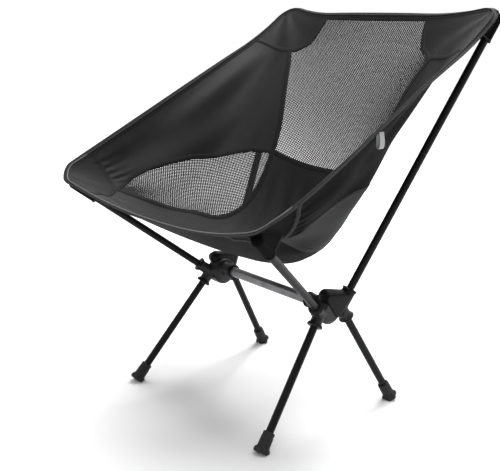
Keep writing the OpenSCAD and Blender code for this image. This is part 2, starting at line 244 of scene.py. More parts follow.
def solid_material(name, colour, roughness, grain, depth, metallic=0.0, stretch=(1, 1, 1), specular=0.5):
    """Moulded or drawn stuff: fine grain in the surface, rubbed patches in its gloss and colour."""
    made, tree, shader = new_material(name, colour, roughness, metallic, specular=specular)
    coords = tree.nodes.new("ShaderNodeTexCoord").outputs["Object"]
    fine = noise(tree, coords, grain, 4, stretch)
    rubbed = noise(tree, coords, 60, 5)
    tree.links.new(
        ramp(tree, rubbed, 0.3, 0.7, *shades(colour, 0.82, 1.25)), shader.inputs["Base Color"]
    )
    gloss = combine(tree, "ADD", spread(tree, fine, -0.05, 0.05), spread(tree, rubbed, -0.06, 0.06))
    level = add_node(tree, "ShaderNodeMath", operation="ADD")
    level.inputs[1].default_value = roughness
    tree.links.new(gloss, level.inputs[0])
    tree.links.new(level.outputs["Value"], shader.inputs["Roughness"])
    bump(tree, shader, fine, depth)
    return made


DRAWN = (900, 0.012 * MM)
BLACK_TUBE = solid_material("black_tube", (0.005, 0.005, 0.0055), 0.38, *DRAWN, 0.0, (1, 1, 0.05), 0.15)
GREY_TUBE = solid_material("grey_tube", (0.16, 0.16, 0.165), 0.38, *DRAWN, 0.6, (0.05, 1, 1))
NYLON = solid_material("nylon", (0.0035, 0.0035, 0.004), 0.5, 1400, 0.03 * MM, specular=0.15)
PALE_NYLON = solid_material("pale_nylon", (0.012, 0.012, 0.013), 0.42, 1400, 0.03 * MM, specular=0.3)
RUBBER = solid_material("rubber", (0.009, 0.009, 0.009), 0.62, 1800, 0.05 * MM, specular=0.35)
CORD = solid_material("cord", (0.45, 0.45, 0.44), 0.85, 1500, 0.2 * MM)
FABRIC = cloth_material("oxford_fabric", (0.0115, 0.0115, 0.0125), 0.9 * MM, 0.5, 0.0, specular=0.22)
# The sling's underside and the pockets under it: the fabric painted nearly black and given almost no
# gloss, much darker than its face, as shade from below.
UNDERSIDE_SHADE = cloth_material("underside_painted_shade", (0.002, 0.002, 0.0023), 0.9 * MM, 0.7, 0.0, specular=0.04)
PATCH_FABRIC = cloth_material("patch_fabric", (0.0105, 0.0105, 0.011), 1.3 * MM, 0.6, 0.0, 0.18 * MM)
YARN = cloth_material("mesh_yarn", (0.015, 0.015, 0.0155), 0.5 * MM, 0.65, 0.0, 0.08 * MM)
TAPE = cloth_material("edge_tape", (0.012, 0.012, 0.0125), 0.7 * MM, 0.7, 0.0, 0.15 * MM)
PIPING = cloth_material("piping", (0.13, 0.13, 0.13), 0.8 * MM, 0.7, 0.1, 0.15 * MM)
DARK_PIPING = cloth_material("dark_piping", (0.03, 0.03, 0.03), 0.8 * MM, 0.7, 0.0, 0.15 * MM)
THREAD = cloth_material("thread", (0.03, 0.03, 0.03), 0.4 * MM, 0.65, 0.05, 0.05 * MM)
RIBBON = cloth_material("ribbon", (0.42, 0.42, 0.42), 0.8 * MM, 0.7, 0.2, 0.15 * MM)

# ---- the sling's surface ----
# u runs across, -1 to 1, and v runs from the front edge, 0, to the backrest's top edge, 1.

OFFSET = np.array([0, CROSSBAR[1], 0])
FRONT_CORNER = np.array([266, -262, 388]) * MM + OFFSET
REAR_CORNER = np.array([252, 272, 654]) * MM + OFFSET
FRONT_MIDDLE = np.array([0, FRONT_CORNER[1] + 16 * MM, FRONT_CORNER[2] - 36 * MM])
TOP_MIDDLE = np.array([0, REAR_CORNER[1] - 26 * MM, REAR_CORNER[2] + 2 * MM])
EDGE_LINE = [
    FRONT_CORNER,
    FRONT_CORNER + np.array([22, 82, 27]) * MM,
    REAR_CORNER + np.array([10, -370, -188]) * MM,
    REAR_CORNER,
]
MIDDLE_LINE = [
    FRONT_MIDDLE,
    FRONT_MIDDLE + np.array([0, 355, -207]) * MM,
    TOP_MIDDLE + np.array([0, -192, -396]) * MM,
    TOP_MIDDLE,
]
BOWL_POWER = 2.3
CORNER_LIFT = 20 * MM
LIFT_FROM_U = 0.45
LIFT_FROM_V = 0.88
# The rounded corners: centre and reach, in u and v
FRONT_ARC = (0.86, 0.14, 0.14, 0.14)
REAR_ARC = (0.87, 0.97, 0.13, 0.03)


def bezier(points, t):
    t = np.asarray(t, float)[..., None]
    s = 1 - t
    return s**3 * points[0] + 3 * s * s * t * points[1] + 3 * s * t * t * points[2] + t**3 * points[3]


def rise(x, low, high):
    """0 before low, 1 after high, and smooth between."""
    t = np.clip((x - low) / (high - low), 0, 1)
    return t * t * (3 - 2 * t)


def taut(u, v):
    """The sling stretched without a fold."""
    edge = bezier(EDGE_LINE, v)
    middle = bezier(MIDDLE_LINE, v)
    share = (np.abs(u) ** BOWL_POWER)[..., None]
    at = middle + (edge - middle) * share
    at[..., 0] = u * edge[..., 0]
    lift_u = np.clip((np.abs(u) - LIFT_FROM_U) / (1 - LIFT_FROM_U), 0, 1)
    lift_v = np.clip((v - LIFT_FROM_V) / (1 - LIFT_FROM_V), 0, 1)
    at[..., 2] += CORNER_LIFT * lift_u**2 * lift_v**2
    return at


def across_step(place, u, v, step=0.003):
    du = place(u + step, v) - place(u - step, v)
    dv = place(u, v + step) - place(u, v - step)
    return unit(np.cross(du, dv))


def corner_creases(along_u, along_v, count, reach, depth):
    """Creases that fan out from a corner."""
    r = np.hypot(along_u, along_v)
    angle = np.arctan2(along_v, along_u)
    fade = r / reach * np.exp(1 - r / reach)
    return depth * np.sin(count * angle + 0.7) * fade


def folds(u, v):
    """How far the cloth stands off its taut shape."""
    a = np.abs(u)
    wing = rise(a, 0.5, 0.72) * (1 - rise(a, 0.9, 0.99)) * rise(v, 0.12, 0.3) * (1 - rise(v, 0.86, 0.97))
    off = 3.4 * MM * wing * np.sin(2 * math.pi * (3.1 * a - 1.1 * v) + 1.2)
    off += 1.2 * MM * wing * np.sin(2 * math.pi * (6.3 * a + 1.9 * v) + 0.4)
    gather = rise(a, 0.8, 0.88) * rise(v, 0.2, 0.26) * np.exp(-np.clip(v - 0.26, 0, 1) / 0.05)
    off += 0.8 * MM * gather * np.sin(2 * math.pi * 36 * a + 9 * v)
    seat = rise(a, 0.02, 0.12) * (1 - rise(a, 0.38, 0.5)) * rise(v, 0.12, 0.3) * (1 - rise(v, 0.6, 0.7))
    off += 1.3 * MM * seat * np.sin(2 * math.pi * 7.2 * a + 2.2 * np.sin(5 * v))
    off += corner_creases((1 - a) * 0.26, v * 0.9, 11, 0.06, 1.4 * MM)
    off += corner_creases((1 - a) * 0.25, (1 - v) * 0.9, 10, 0.05, 1.1 * MM)
    edge = rise(1 - a, 0, 0.06) * rise(v, 0, 0.03) * rise(1 - v, 0, 0.03)
    for (cu, cv, ru, rv), past in ((FRONT_ARC, v < FRONT_ARC[1]), (REAR_ARC, v > REAR_ARC[1])):
        inset = 1 - np.hypot((a - cu) / ru, (v - cv) / rv)
        edge = np.where(past & (a > cu), np.minimum(edge, rise(inset, 0, 0.35)), edge)
    return off * edge


def draped(u, v):
    """The sling as it hangs, folds and all."""
    u, v = np.broadcast_arrays(np.asarray(u, float), np.asarray(v, float))
    return taut(u, v) + across_step(taut, u, v) * folds(u, v)[..., None]


def facing(u, v):
    """The draped sling's normal, towards the sitter."""
    u, v = np.broadcast_arrays(np.asarray(u, float), np.asarray(v, float))
    return across_step(draped, u, v)


# Seam lines on the left half, as (u, v), the same as the CAD panels'
MESH_FRONT = (0.815, 0.175)
MESH_BACK = (0.45, 0.715)
SEAT_SEAM = [
    MESH_FRONT, (0.71, 0.245), (0.605, 0.348), (0.51, 0.4), (0.46, 0.48), (0.44, 0.55), (0.435, 0.63),
    MESH_BACK,
]
WING_SEAM = [
    MESH_FRONT, (0.845, 0.26), (0.858, 0.34), (0.845, 0.43), (0.79, 0.545), (0.7, 0.62), (0.585, 0.685),
    MESH_BACK,
]
BACK_SEAM = [MESH_BACK, (0.49, 0.79), (0.61, 0.888), (0.68, 0.924)]
FRONT_PATCH_SEAM = [
    (0.725, 0), (0.75, 0.08), (0.79, 0.135), (0.83, 0.178), (0.88, 0.207), (0.93, 0.239), (1, 0.28),
]
REAR_PATCH_SEAM = [
    (1, 0.913), (0.87, 0.918), (0.68, 0.924), (0.6, 0.938), (0.545, 0.949), (0.5, 0.98), (0.492, 1),
]
SEAT_BACK_V = 0.715
SPLIT_V = 0.55


def smooth(points, steps=8):
    """A Catmull-Rom curve through the points."""
    p = np.array(points, float)
    p = np.vstack([p[:1], p, p[-1:]])
    t = np.linspace(0, 1, steps, endpoint=False)[:, None]
    spans = []
    for a, b, c, d in zip(p[:-3], p[1:-2], p[2:-1], p[3:]):
        bend = (2 * a - 5 * b + 4 * c - d) * t * t + (3 * b - a - 3 * c + d) * t**3
        spans.append(0.5 * (2 * b + (c - a) * t + bend))
    return np.vstack(spans + [p[-1:]])


def spaced(line, count):
    """count points along a (u, v) line, evenly spaced on the cloth."""
    at = taut(line[:, 0], line[:, 1])
    run = np.concatenate([[0], np.cumsum(np.linalg.norm(np.diff(at, axis=0), axis=1))])
    want = np.linspace(0, run[-1], count)
    return np.stack([np.interp(want, run, line[:, k]) for k in (0, 1)], 1)


def run_of(line):
    at = taut(line[:, 0], line[:, 1])
    return np.linalg.norm(np.diff(at, axis=0), axis=1).sum()


def straight(a, b, steps=40):
    return np.linspace(np.array(a, float), np.array(b, float), steps)


def arc(around, start, end, steps=24):
    cu, cv, ru, rv = around
    t = np.radians(np.linspace(start, end, steps))
    return np.stack([cu + ru * np.cos(t), cv + rv * np.sin(t)], 1)


def front_outline(u0=0.0, v1=SPLIT_V):
    """The sling's edge from the front, round the left front corner and up the side."""
    front, side = straight((u0, 0), (0.86, 0)), straight((1, 0.14), (1, v1))
    return np.vstack([front[:-1], arc(FRONT_ARC, -90, 0), side[1:]])


def rear_outline(v0=SPLIT_V, u1=0.0):
    """The sling's edge from the side, round the left rear corner to the top."""
    side, top = straight((1, v0), (1, 0.97)), straight((0.87, 1), (u1, 1))
    return np.vstack([side[:-1], arc(REAR_ARC, 0, 90), top[1:]])


# ---- meshes ----


def make_object(name, points, faces, material, side, uv=None, normals=None, sharp=None):
    """A piece from its left-hand points, mirrored if it is for the right."""
    points = np.array(points, float).reshape(-1, 3)
    faces = [tuple(int(i) for i in face) for face in faces]
    if side == "right":
        points = points * [-1, 1, 1]
        faces = [face[::-1] for face in faces]
    mesh = bpy.data.meshes.new(name)
    mesh.from_pydata(points.tolist(), [], faces)
    if uv is not None:
        layer = mesh.uv_layers.new(name="UVMap")
        index = np.zeros(len(mesh.loops), int)
        mesh.loops.foreach_get("vertex_index", index)
        layer.data.foreach_set("uv", np.asarray(uv, float)[index].ravel())
    mesh.polygons.foreach_set("use_smooth", np.ones(len(mesh.polygons), bool))
    mesh.update()
    if sharp is not None:
        mesh.set_sharp_from_angle(angle=math.radians(sharp))
    if normals is not None:
        normals = np.asarray(normals, float).reshape(-1, 3) * [SIDES[side], 1, 1]
        mesh.normals_split_custom_set_from_vertices(normals.tolist())
    mesh.materials.append(material)
    made = bpy.data.objects.new(name, mesh)
    bpy.context.scene.collection.objects.link(made)
    return made


def grid_faces(rows, columns, start=0, flip=False, ring=False):
    """Quads between rows of points; a ring's last column joins its first."""
    last = columns if ring else columns - 1
    i, j = np.meshgrid(np.arange(rows - 1), np.arange(last), indexing="ij")
    k = (j + 1) % columns
    quads = np.stack([i * columns + j, i * columns + k, (i + 1) * columns + k, (i + 1) * columns + j], -1)
    quads = quads.reshape(-1, 4) + start
    return quads[:, ::-1] if flip else quads


def rim_faces(rows, columns, second):
    """Quads that close the rim between a grid of points and the layer second points on."""
    rim = [(0, j) for j in range(columns)]
    rim += [(i, columns - 1) for i in range(1, rows)]
    rim += [(rows - 1, j) for j in range(columns - 2, -1, -1)]
    rim += [(i, 0) for i in range(rows - 2, 0, -1)]
    at = np.array([i * columns + j for i, j in rim])
    after = np.roll(at, -1)
    return np.stack([after, at, at + second, after + second], 1)


def layered(name, at, normal, thickness, material, side, uv, offset=0.0, back=None):
    """A closed sheet of cloth, thickness thick, over a grid of points; its back may take a darker
    material, painted as shade.
    """
    rows, columns = at.shape[:2]
    top = at + normal * (offset + thickness / 2)
    under = at + normal * (offset - thickness / 2)
    count = rows * columns
    faces = np.vstack([
        grid_faces(rows, columns),
        grid_faces(rows, columns, count, flip=True),
        rim_faces(rows, columns, count),
    ])
    points = np.concatenate([top.reshape(-1, 3), under.reshape(-1, 3)])
    normals = np.concatenate([normal.reshape(-1, 3), -normal.reshape(-1, 3)])
    both = np.concatenate([uv.reshape(-1, 2)] * 2)
    made = make_object(name, points, faces, material, side, both, normals)
    if back is not None:
        made.data.materials.append(back)
        quads = (rows - 1) * (columns - 1)
        behind = np.zeros(len(faces), int)
        behind[quads : 2 * quads] = 1
        made.data.polygons.foreach_set("material_index", behind)
    return made


WIDTH_SCALE = 0.262
LENGTH_SCALE = 0.93
FABRIC_T = 0.9 * MM


def between(first, second, across):
    """A grid of (u, v) points that fills the space between two lines."""
    t = np.linspace(0, 1, across)[None, :, None]
    return first[:, None, :] * (1 - t) + second[:, None, :] * t


CUTS = {}
# A sheet's least area, as a share of its rectangle
LEAST_AREA = 0.31


def cut_of(at):
    """The width, length and area that a grid of points takes out of flat cloth."""
    width = np.linalg.norm(np.diff(at, axis=1), axis=-1).sum(1).max()
    length = np.linalg.norm(np.diff(at, axis=0), axis=-1).sum(0).max()
    sides = np.cross(at[1:, 1:] - at[:-1, :-1], at[1:, :-1] - at[:-1, 1:])
    return width, length, np.linalg.norm(sides, axis=-1).sum() / 2


def sewn_panel(name, grid, material, side, thickness=FABRIC_T, offset=0.0):
    u, v = grid[..., 0], grid[..., 1]
    uv = np.stack([u * WIDTH_SCALE, v * LENGTH_SCALE], -1)
    at, normal = draped(u, v), facing(u, v)
    CUTS[name] = cut_of(at)
    # The underside takes the darker material, painted as shade.
    return layered(name, at, normal, thickness, material, side, uv, offset, UNDERSIDE_SHADE)


def declare_cloth(piece):
    """Works out the size a sheet was cut to; the cut isn't a rectangle, so it has an area too. Nothing is
    done with them.
    """
    width, length, area = (float(x) for x in CUTS[piece.name])
    area = min(max(area, LEAST_AREA * width * length), width * length)


# ---- each pole's bend direction, and the cloth's still and moving lines ----

BEND = {"front_pole": unit([0.6, -0.52, -0.6]), "rear_pole_upper": unit([0.79, 0.6, 0.12])}
SPLIT_LINE = straight((1, SPLIT_V), (0.79, SPLIT_V), 8)
STILL = np.vstack([
    straight((0, 0), (0, 1), 30),
    SPLIT_LINE,
    [p for p in smooth(WING_SEAM) if p[1] >= SPLIT_V],
    straight((0, SEAT_BACK_V), (0.45, SEAT_BACK_V), 8),
])
MOVING = {"front_pole": smooth(FRONT_PATCH_SEAM), "rear_pole_upper": smooth(REAR_PATCH_SEAM)}


def bend_with(piece, pole):
    """Bakes the piece's place into its mesh; how far the still middle and the pole's corner seam reach
    along the bend is worked out but not used.
    """
    way = BEND[pole]
    still = (taut(STILL[:, 0], STILL[:, 1]) @ way).max()
    moving = (taut(MOVING[pole][:, 0], MOVING[pole][:, 1]) @ way).min()
    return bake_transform(piece)


# ---- strips along the cloth ----


def strip(name, line, section, material, side, step=4 * MM, later=None):
    """A closed strip along a (u, v) line. Its section is (outward, towards the sitter) points.

    Where there is a later section, the strip turns into it past its middle."""
    line = spaced(line, max(4, round(run_of(line) / step)))
    at, normal = draped(line[:, 0], line[:, 1]), facing(line[:, 0], line[:, 1])
    along = unit(np.gradient(at, axis=0))
    outward = unit(np.cross(along, normal))
    section = np.array(section, float)
    later = section if later is None else np.array(later, float)
    turned = rise(np.linspace(0, 1, len(line)), 0.45, 0.6)[:, None, None]
    shape = section * (1 - turned) + later * turned
    rings = at[:, None] + outward[:, None] * shape[..., :1] + normal[:, None] * shape[..., 1:]
    rows, columns = rings.shape[:2]
    body = [tuple(face) for face in grid_faces(rows, columns, ring=True)]
    caps = [tuple(range(columns - 1, -1, -1)), tuple((rows - 1) * columns + k for k in range(columns))]
    run = np.linspace(0, run_of(line), rows)[:, None] * np.ones((1, columns))
    girth = np.concatenate([[0], np.cumsum(np.linalg.norm(np.diff(section, axis=0), axis=1))])
    uv = np.stack([run, np.ones((rows, 1)) * girth[None, :]], -1)
    return make_object(name, rings, body + caps, material, side, uv.reshape(-1, 2), sharp=50)


def flat_section(width, thickness, lift=0.0, bevel=0.35):
    """A flat tape's section with its edges rounded off."""
    w, t = width / 2, thickness / 2
    b = t * bevel
    return [
        (-w, lift - t + b), (-w + b, lift - t), (w - b, lift - t), (w, lift - t + b),
        (w, lift + t - b), (w - b, lift + t), (-w + b, lift + t), (-w, lift + t - b),
    ]


def round_section(radius, outward, up, sides=8):
    turn = np.linspace(0, 2 * math.pi, sides, endpoint=False)
    return np.stack([outward + radius * np.cos(turn), up + radius * np.sin(turn)], 1)


def bent_flange(reach, thickness, fold=5 * MM):
    """The edge binding's section: flat under the cloth's edge, then bent outwards and back."""
    t = thickness / 2
    drop = reach * 0.4
    return [
        (-fold, -t), (0.2 * MM, -t), (reach - t, -drop - t), (reach, -drop - 0.6 * t),
        (reach, -drop + 0.6 * t), (reach - t, -drop + t), (0, t * 1.9), (-fold, t * 1.5),
    ]


STITCH_LENGTH = 2.6 * MM
STITCH_PITCH = 3.6 * MM
STITCH_R = 0.32 * MM


def stitches(name, rows, side):
    """Rows of stitches; each row is a (u, v) line, its distance outward and its height."""
    points, faces = [], []
    turn = np.linspace(0, 2 * math.pi, 6, endpoint=False)
    reach = np.array([-0.5, -0.25, 0.25, 0.5]) * STITCH_LENGTH
    thick = np.array([0.15, 1, 1, 0.15]) * STITCH_R
    body = [tuple(face) for face in grid_faces(4, 6, ring=True)]
    one = body + [tuple(range(5, -1, -1)), tuple(range(18, 24))]
    for line, out, up in rows:
        line = spaced(line, max(3, round(run_of(line) / STITCH_PITCH)))
        at, normal = draped(line[:, 0], line[:, 1]), facing(line[:, 0], line[:, 1])
        along = unit(np.gradient(at, axis=0))
        outward = unit(np.cross(along, normal))
        middles = (at + outward * out + normal * up)[1:-1]
        for c, t, b, n in zip(middles, along[1:-1], outward[1:-1], normal[1:-1]):
            first = len(points) * 24
            ring = np.cos(turn)[:, None] * b + np.sin(turn)[:, None] * n
            points.append(c + reach[:, None, None] * t + thick[:, None, None] * ring[None])
            faces += [tuple(i + first for i in face) for face in one]
    points = np.array(points).reshape(-1, 3)
    return make_object(name, points, faces, THREAD, side, points[:, :2])


# ---- mesh windows ----

CELL_A = 2.3 * MM
CELL_B = 2.15 * MM
SIDE_HOLES = 0.41
BACK_HOLES = 0.54
NET_T = 0.7 * MM


def inside(polygon, x, y):
    """Which points lie inside a closed polygon."""
    hit = np.zeros(x.shape, bool)
    for (x0, y0), (x1, y1) in zip(polygon, np.roll(polygon, -1, axis=0)):
        if y0 == y1:
            continue
        crosses = (y0 > y) != (y1 > y)
        hit ^= crosses & (x < (x1 - x0) * (y - y0) / (y1 - y0) + x0)
    return hit


def lengths(place, low, high):
    """A table from a surface coordinate to the distance along the cloth."""
    t = np.linspace(low, high, 300)
    at = place(t)
    return t, np.concatenate([[0], np.cumsum(np.linalg.norm(np.diff(at, axis=0), axis=1))])


def net(name, outline, middle, share, side):
    """A knitted net that fills a (u, v) outline: its diamond holes take a share of each cell."""
    outline = np.array(outline)
    u_table, x_table = lengths(lambda t: taut(t, np.full_like(t, middle[1])), -0.02, 1)
    v_table, y_table = lengths(lambda t: taut(np.full_like(t, middle[0]), t), 0, 1)
    x_table = x_table - np.interp(0, u_table, x_table)
    x, y = np.interp(outline[:, 0], u_table, x_table), np.interp(outline[:, 1], v_table, y_table)
    flat = np.stack([x, y], 1)
    low = np.floor(flat.min(0) / [CELL_A, CELL_B]).astype(int) - 1
    high = np.ceil(flat.max(0) / [CELL_A, CELL_B]).astype(int) + 1
    i, j = np.meshgrid(np.arange(low[0], high[0] + 1), np.arange(low[1], high[1] + 1), indexing="ij")
    cells = np.stack([i.ravel(), j.ravel()], 1)
    cells = cells[(cells.sum(1) % 2 == 0)]
    cells = cells[inside(flat, cells[:, 0] * CELL_A, cells[:, 1] * CELL_B)]
    if outline[:, 0].min() <= 0:
        cells = cells[cells[:, 0] >= 0]
    corners = cells[:, None] + np.array([(1, 0), (0, 1), (-1, 0), (0, -1)])[None]
    knots, index = np.unique(corners.reshape(-1, 2), axis=0, return_inverse=True)
    outer = index.reshape(-1, 4)
    holes = cells[:, None] + (corners - cells[:, None]) * share
    inner = len(knots) + np.arange(len(cells) * 4).reshape(-1, 4)
    spots = np.concatenate([knots, holes.reshape(-1, 2)]) * [CELL_A, CELL_B]
    u = np.interp(spots[:, 0], x_table, u_table)
    v = np.interp(spots[:, 1], y_table, v_table)
    at, normal = draped(u, v), facing(u, v)
    reach = np.ptp(spots, axis=0)
    CUTS[name] = (*reach, len(cells) * 2 * CELL_A * CELL_B)
    count = len(spots)
    after = np.roll(np.arange(4), -1)
    bands = np.stack([outer, outer[:, after], inner[:, after], inner], -1).reshape(-1, 4)
    walls = np.stack([inner, inner[:, after], inner[:, after] + count, inner + count], -1).reshape(-1, 4)
    edges = np.stack([outer, outer[:, after]], -1).reshape(-1, 2)
    edges_once = np.unique(np.sort(edges, axis=1), axis=0, return_index=True, return_counts=True)
    first, uses = edges_once[1:]
    rim = edges[first[uses == 1]]
    rims = np.stack([rim[:, 1], rim[:, 0], rim[:, 0] + count, rim[:, 1] + count], 1)
    faces = np.vstack([bands, bands[:, ::-1] + count, walls, rims])
    points = np.concatenate([at + normal * NET_T / 2, at - normal * NET_T / 2])
    normals = np.concatenate([normal, -normal])
    return make_object(name, points, faces, YARN, side, np.concatenate([spots, spots]), normals)


# ---- the sling ----

WING_INNER = [(0.83, 0.178)] + WING_SEAM[1:] + BACK_SEAM[1:]
WING_FINE = smooth(WING_INNER, 10)


def wing_grid():
    outer = straight((1, 0.28), (1, 0.913), len(WING_FINE))
    return between(WING_FINE, outer, 34)


def wing_split():
    """The row of the wing at which its front half ends."""
    grid = wing_grid()
    return int(np.argmin(np.abs(grid[:, -1, 1] - SPLIT_V)))


def seat_grid():
    front = smooth([*FRONT_PATCH_SEAM[:3], MESH_FRONT])
    side = np.vstack([front[:-1], smooth(SEAT_SEAM)])
    return between(np.stack([side[:, 0] * 0, side[:, 1]], 1), side, 60)


def patch_grid(seam, outline, across=16, count=60):
    return between(spaced(smooth(seam), count), spaced(outline, count), across)


SEAM_TAPE = flat_section(9 * MM, 2.2 * MM)
FRONT_BINDING = bent_flange(4.5 * MM, 1.7 * MM)
BINDING = bent_flange(7.5 * MM, 1.7 * MM)
PIPING_ROUND = round_section(1.15 * MM, 0.6 * MM, 1.9 * MM)
TOP_BAND = flat_section(7 * MM, 1.8 * MM, 0.2 * MM)
LIGHT_PIPING_V = 0.24
STITCH_UP = 1.2 * MM
EDGE_STITCH = 3.2 * MM


def seam_rows(line, out=3 * MM, up=STITCH_UP):
    return [(line, out, up), (line, -out, up)]


def clothe_front(side):
    """The front quarter of the sling on one side."""
    front_line = front_outline()
    seat = sewn_panel(f"seat_panel_{side}", seat_grid(), FABRIC, side)
    wing = sewn_panel(f"wing_front_{side}", wing_grid()[: wing_split() + 1], FABRIC, side)
    side_outline = np.vstack([smooth(SEAT_SEAM), smooth(WING_SEAM)[::-1]])
    window = net(f"side_mesh_net_{side}", side_outline, (0.64, 0.45), SIDE_HOLES, side)
    seat_tape = strip(f"seat_seam_tape_{side}", smooth(SEAT_SEAM), SEAM_TAPE, TAPE, side)
    wing_tape = strip(f"wing_seam_tape_{side}", smooth(WING_SEAM), SEAM_TAPE, TAPE, side)
    binding = strip(f"front_edge_tape_{side}", front_line, FRONT_BINDING, TAPE, side, later=BINDING)
    piping = strip(f"front_piping_{side}", front_outline(0, LIGHT_PIPING_V), PIPING_ROUND, PIPING, side)
    side_line = straight((1, LIGHT_PIPING_V), (1, SPLIT_V))
    side_piping = strip(f"side_piping_{side}", side_line, PIPING_ROUND, DARK_PIPING, side)
    rows = seam_rows(smooth(SEAT_SEAM)) + seam_rows(smooth(WING_SEAM))
    sewing = stitches(f"front_stitches_{side}", rows + [(front_line, -EDGE_STITCH, STITCH_UP)], side)
    for piece in (seat, wing, window, seat_tape, wing_tape, binding, piping, side_piping, sewing):
        bend_with(piece, "front_pole")
    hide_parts("seat_panel")
    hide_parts(f"wing_panel_{side}")
    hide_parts(f"side_mesh_{side}")
    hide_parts("front_binding", f"side_binding_{side}", f"front_corner_binding_{side}")
    declare_cloth(seat)
    declare_cloth(wing)
    declare_cloth(window)


def clothe_rear(side):
    """The rear quarter of the sling on one side."""
    rear_line = rear_outline()
    wing = sewn_panel(f"wing_rear_{side}", wing_grid()[wing_split() :], FABRIC, side)
    back_edge = np.vstack([smooth(BACK_SEAM), smooth(REAR_PATCH_SEAM[2:])[1:]])
    back_outline = np.vstack([[(0, SEAT_BACK_V)], back_edge, [(0, 1)]])
    window = net(f"back_mesh_net_{side}", back_outline, (0.25, 0.86), BACK_HOLES, side)
    tape = strip(f"back_seam_tape_{side}", smooth(BACK_SEAM), SEAM_TAPE, TAPE, side)
    band = strip(f"top_band_{side}", straight((0.49, 0.9955), (0, 0.9955)), TOP_BAND, TAPE, side)
    binding = strip(f"rear_edge_tape_{side}", rear_line, BINDING, TAPE, side)
    piping = strip(f"rear_piping_{side}", rear_line, PIPING_ROUND, DARK_PIPING, side)
    rows = seam_rows(smooth(BACK_SEAM)) + [(rear_line, -EDGE_STITCH, STITCH_UP)]
    sewing = stitches(f"rear_stitches_{side}", rows, side)
    for piece in (wing, window, tape, band, binding, piping, sewing):
        bend_with(piece, "rear_pole_upper")
    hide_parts(f"wing_panel_{side}")
    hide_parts("back_mesh_panel")
    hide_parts("top_binding", f"side_binding_{side}", f"rear_corner_binding_{side}")
    declare_cloth(wing)
    declare_cloth(window)


def clothe_middle():
    """The seam between seat and back, which stays with the hubs."""
    for side in SIDES:
        line = straight((0.45, SEAT_BACK_V), (0, SEAT_BACK_V))
        tape = strip(f"seat_back_tape_{side}", line, SEAM_TAPE, TAPE, side)
        sewing = stitches(f"seat_back_stitches_{side}", seam_rows(line), side)
        for piece in (tape, sewing):
            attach(piece, "root")


# ---- corner patches and pockets ----

POCKET_HALF = 10 * MM
POCKET_R = 8.4 * MM
POCKET_CAP = 9 * MM
UNDER_GAP = 1.1 * MM
SEARCH_U, SEARCH_V = np.meshgrid(np.linspace(0.4, 1, 121), np.linspace(0, 1, 241), indexing="ij")
SEARCH = taut(SEARCH_U, SEARCH_V)


def nearest(point):
    """The (u, v) of the cloth's point that is nearest."""
    gap = np.linalg.norm(SEARCH - point, axis=-1)
    k = np.unravel_index(gap.argmin(), gap.shape)
    u, v = np.array(SEARCH_U[k]), np.array(SEARCH_V[k])
    step = 0.002
    for _ in range(3):
        way_u = (taut(u + step, v) - taut(u - step, v)) / (2 * step)
        way_v = (taut(u, v + step) - taut(u, v - step)) / (2 * step)
        off = point - taut(u, v)
        u = np.clip(u + off @ way_u / (way_u @ way_u), 0, 1)
        v = np.clip(v + off @ way_v / (way_v @ way_v), 0, 1)
    return u, v


def under_cloth(point):
    """The nearest place just under the cloth."""
    u, v = nearest(point)
    return draped(u, v) - facing(u, v) * UNDER_GAP


def pocket_section(middle, axis, half, fullness):
    """Points round the pole's underside from the cloth on one side of it to the other.

    With no fullness they lie flat under the cloth."""
    lift = taut(*nearest(middle)) - middle
    up = lift - axis * (lift @ axis)
    gap = np.linalg.norm(up)
    up = up / gap
    across = np.cross(axis, up)
    turn = np.radians(np.linspace(20, -200, 17))
    under = np.array([middle + POCKET_R * (across * math.cos(t) + up * math.sin(t)) for t in turn])
    sewn = [under_cloth(middle + across * x + up * gap) for x in (half, -half)]
    slope = np.linspace(0, 1, 6)[:-1, None]
    near = sewn[0] * (1 - slope) + under[0] * slope
    far = sewn[1] * (1 - slope) + under[-1] * slope
    full = np.vstack([near, under, far[::-1]])
    if fullness == 1:
        return full
    places = np.linspace(half, -half, len(full))
    flat = np.array([under_cloth(middle + across * x + up * gap) for x in places])
    return full * fullness + flat * (1 - fullness)


def pocket_shell(end, length, widen, steps=36):
    """The pocket's cloth: rows of points from its closed end to its mouth."""
    axis = AXIS[f"{end}_pole"]
    rows = []
    for s in np.linspace(-POCKET_CAP, length, steps):
        fullness = math.sqrt(max(0, 1 - (min(s, 0) / POCKET_CAP) ** 2))
        half = POCKET_HALF + widen * max(s, 0) / length
        rows.append(pocket_section(TIP[end] - axis * s, -axis, half, fullness))
    return np.array(rows)


def grid_normals(at):
    along = np.gradient(at, axis=0)
    across = np.gradient(at, axis=1)
    return unit(np.cross(across, along))


def grid_uv(at):
    run = np.cumsum(np.linalg.norm(np.diff(at, axis=0, prepend=at[:1]), axis=-1), axis=0)
    girth = np.cumsum(np.linalg.norm(np.diff(at, axis=1, prepend=at[:, :1]), axis=-1), axis=1)
    return np.stack([girth, run], -1)


def free_sheet(name, at, thickness, material, side, offset=0.0):
    CUTS[name] = cut_of(at)
    return layered(name, at, grid_normals(at), thickness, material, side, grid_uv(at), offset)


